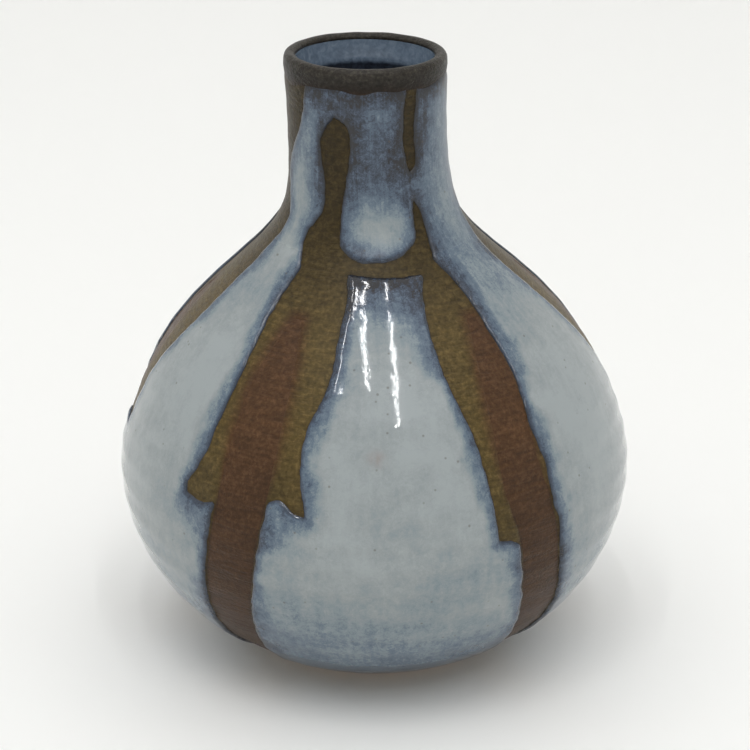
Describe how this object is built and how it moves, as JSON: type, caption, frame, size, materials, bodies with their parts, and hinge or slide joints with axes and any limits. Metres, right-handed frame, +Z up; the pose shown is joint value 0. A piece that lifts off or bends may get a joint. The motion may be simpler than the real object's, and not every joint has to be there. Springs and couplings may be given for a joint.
{
  "type": "bud vase",
  "caption": "Wheel-thrown stoneware bud vase with a round belly, a narrow neck and separate fired glaze coats, open for a few stems.",
  "frame": {"origin": "centre of the foot, on the surface that the vase stands on", "axes": "+Z up along the vase's axis, the front of the vase faces -Y, +X to the right of someone facing the front"},
  "size_m": [0.125, 0.125, 0.1488],
  "materials": {
    "bare_stoneware": "bare fired clay, matt",
    "liner_glaze": "glossy blue-grey glaze",
    "iron_brown_glaze": "satin red-brown iron glaze",
    "olive_glaze": "satin olive-brown glaze",
    "pale_glaze": "glossy floating-blue glaze"
  },
  "bodies": {
    "root": {"stoneware_body": "bare_stoneware", "liner_glaze": "liner_glaze", "iron_brown_coat": "iron_brown_glaze", "olive_coat": "olive_glaze", "pale_glaze_front_panel": "pale_glaze", "pale_glaze_neck_and_sides": "pale_glaze", "pale_glaze_back_right_panel": "pale_glaze", "pale_glaze_back_panel": "pale_glaze", "pale_glaze_back_left_panel": "pale_glaze"}
  },
  "joints": []
}
